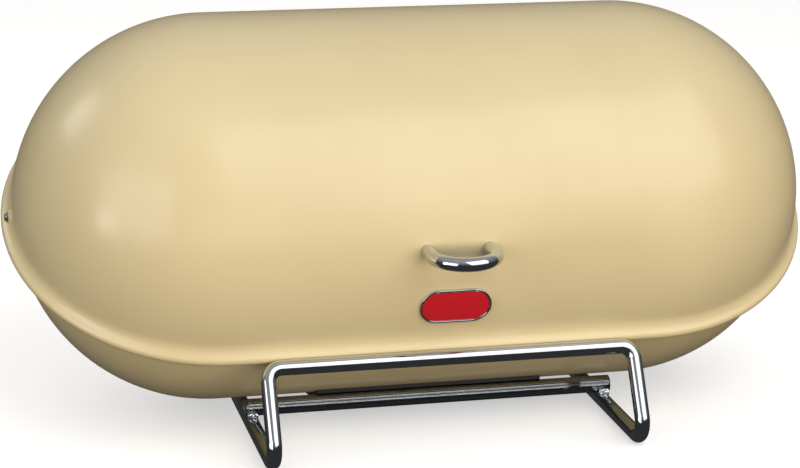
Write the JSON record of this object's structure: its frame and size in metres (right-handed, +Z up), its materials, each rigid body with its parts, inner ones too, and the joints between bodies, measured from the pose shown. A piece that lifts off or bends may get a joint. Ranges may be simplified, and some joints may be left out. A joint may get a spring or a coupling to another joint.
{
  "type": "bread bin",
  "caption": "Capsule-shaped sheet-steel bread bin with a swing-back lid, a bow handle, an oval plaque and a bent-rod stand.",
  "frame": {"origin": "on the floor, under the middle of the bin between its two pivots", "axes": "+X along the bin and its swing axis, +Z up, the front with the handle faces -Y"},
  "size_m": [0.446, 0.256, 0.2165],
  "materials": {
    "cream_coat": "glossy cream powder coat",
    "chrome_plate": "polished chrome plate on steel",
    "red_enamel": "glossy red enamel",
    "black_coat": "satin black coat",
    "plain_steel": "zinc-plated steel",
    "black_rubber": "matt black rubber",
    "white_nylon": "natural nylon"
  },
  "bodies": {
    "bin": {"base_shell": "cream_coat", "left_pivot_pin": "plain_steel", "right_pivot_pin": "plain_steel", "left_pivot_bush": "white_nylon", "right_pivot_bush": "white_nylon", "left_pivot_washer": "plain_steel", "right_pivot_washer": "plain_steel", "stand_loop": "chrome_plate", "front_cross_rod": "chrome_plate", "rear_cross_rod": "chrome_plate", "rod_welds": "chrome_plate", "saddle_plate": "black_coat", "saddle_rivets": "plain_steel", "saddle_washers": "plain_steel"},
    "lid": {"lid_shell": "cream_coat", "handle": "chrome_plate", "handle_screws": "plain_steel", "handle_washers": "black_rubber", "badge_plate": "chrome_plate", "badge_enamel": "red_enamel", "badge_clips": "plain_steel"}
  },
  "joints": [
    {"name": "lid_swing", "type": "hinge", "parent": "bin", "child": "lid", "pos_m": [0, 0, 0.1115], "axis": [-1, 0, 0], "range_deg": [0, 85]}
  ]
}
